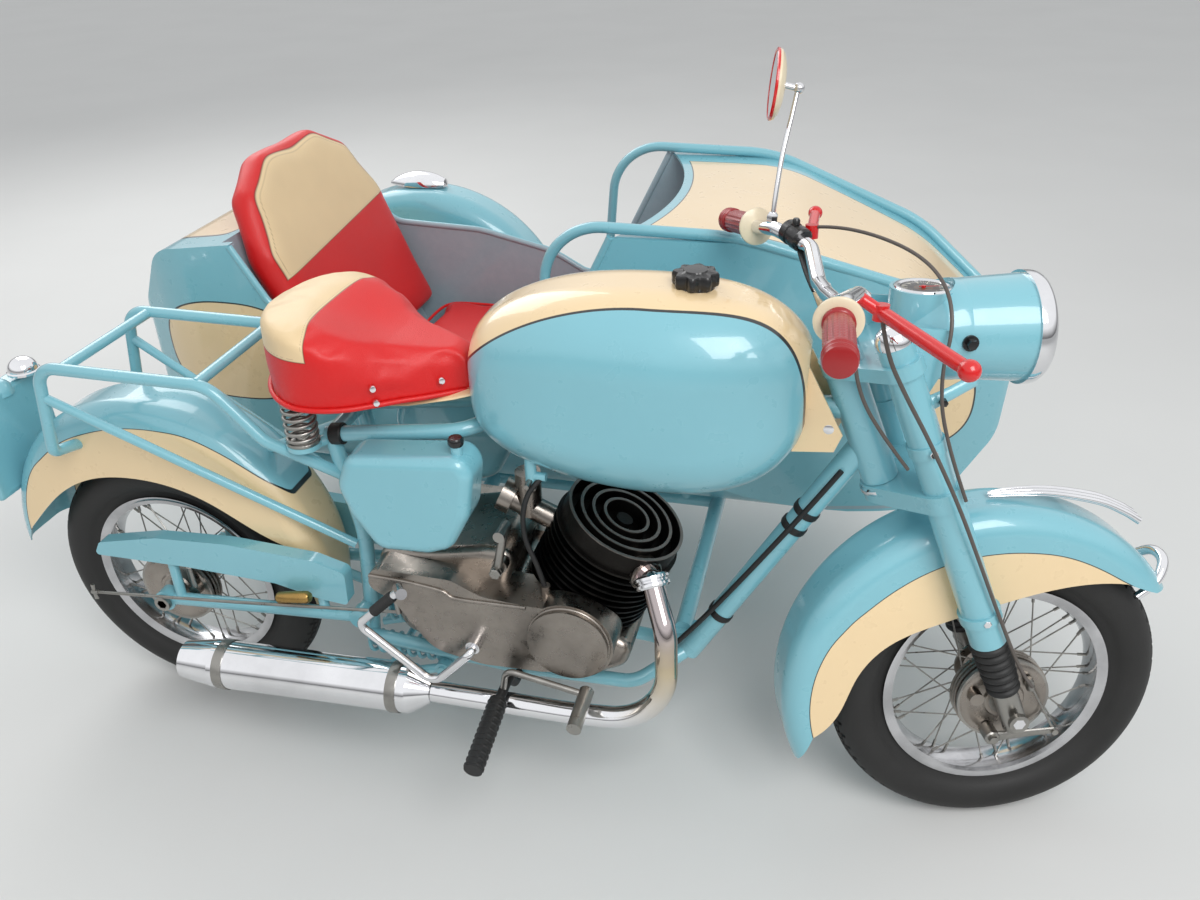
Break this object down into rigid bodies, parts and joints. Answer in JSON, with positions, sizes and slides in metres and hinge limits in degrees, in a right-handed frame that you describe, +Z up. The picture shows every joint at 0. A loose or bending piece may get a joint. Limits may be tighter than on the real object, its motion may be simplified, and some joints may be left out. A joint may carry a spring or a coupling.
{
  "type": "sidecar motorcycle",
  "caption": "Light motorcycle with a one-place open sidecar on its left: spoked wheels, spring saddle, finned engine, deep mudguards and a rack; wheels turn, fork steers.",
  "frame": {"origin": "middle of the footprint, on the ground", "axes": "+X forward, +Y to the rider's left, where the sidecar is, +Z up"},
  "size_m": [2.0304, 1.5177, 1.1708],
  "materials": {
    "blue_paint": "gloss sky-blue enamel",
    "cream_paint": "gloss cream enamel",
    "red_vinyl": "smooth red seat covering with cream panels",
    "black_plastic": "moulded black plastic",
    "steel": "plain steel",
    "cast_alloy": "cast alloy, a little dulled",
    "black_iron": "black-painted cast iron",
    "chrome": "chromium plate",
    "wheel_chrome": "chromium-plated rim and spokes",
    "black_rubber": "black rubber",
    "red_rubber": "dark red moulded rubber",
    "red_plastic": "bright red plastic sleeve",
    "tyre": "black road tyre"
  },
  "bodies": {
    "body": {"frame": "blue_paint", "rear_arm": "blue_paint", "rear_springs": "blue_paint", "rear_mudguard": "blue_paint", "luggage_rack": "blue_paint", "plate_holder": "blue_paint", "tank": "blue_paint", "filler_cap": "black_plastic", "head_gusset": "cream_paint", "saddle": "red_vinyl", "saddle_springs": "steel", "tool_box": "blue_paint", "engine_cases": "cast_alloy", "cylinder": "black_iron", "cylinder_head": "cast_alloy", "carburettor": "cast_alloy", "exhaust_pipe": "chrome", "silencer": "chrome", "footrests": "black_rubber", "brake_pedal": "steel", "gear_lever": "chrome", "kick_lever": "steel", "rear_axle": "steel", "fuel_hose": "black_rubber", "loom": "black_rubber", "sidecar_chassis": "blue_paint", "sidecar_axle": "steel", "sidecar_tub": "blue_paint", "sidecar_deck": "cream_paint", "sidecar_rails": "blue_paint", "sidecar_cushion": "red_vinyl", "sidecar_backrest": "red_vinyl", "sidecar_mudguard": "blue_paint", "sidecar_lamp": "chrome"},
    "steering": {"front_axle": "steel", "fork": "blue_paint", "fork_legs": "steel", "gaiters": "black_rubber", "headlight": "blue_paint", "headlight_rim": "chrome", "speedometer": "chrome", "handlebar": "chrome", "grips": "red_rubber", "levers": "red_plastic", "mirror": "chrome", "front_mudguard": "blue_paint", "front_cable": "black_rubber"},
    "front_wheel_body": {"front_tyre": "tyre", "front_wheel": "wheel_chrome"},
    "rear_wheel_body": {"rear_tyre": "tyre", "rear_wheel": "wheel_chrome"},
    "sidecar_wheel_body": {"sidecar_tyre": "tyre", "sidecar_wheel": "wheel_chrome"},
    "stand": {"centre_stand": "blue_paint"}
  },
  "joints": [
    {"name": "steering", "type": "hinge", "parent": "body", "child": "steering", "pos_m": [0.71237, -0.395, 0.23714], "axis": [-0.3746, 0, 0.9272], "range_deg": [-53, 17]},
    {"name": "front_wheel_spin", "type": "hinge", "parent": "steering", "child": "front_wheel_body", "pos_m": [0.76528, -0.37646, 0.25851], "axis": [-0.2865, 0.9511, -0.1158], "continuous": true},
    {"name": "rear_wheel_spin", "type": "hinge", "parent": "body", "child": "rear_wheel_body", "pos_m": [-0.672, -0.395, 0.26], "axis": [0, 1, 0], "continuous": true},
    {"name": "sidecar_wheel_spin", "type": "hinge", "parent": "body", "child": "sidecar_wheel_body", "pos_m": [-0.592, 0.685, 0.26], "axis": [0, 1, 0], "continuous": true},
    {"name": "centre_stand", "type": "hinge", "parent": "body", "child": "stand", "pos_m": [-0.142, -0.395, 0.19], "axis": [0, -1, 0], "range_deg": [0, 75]}
  ]
}
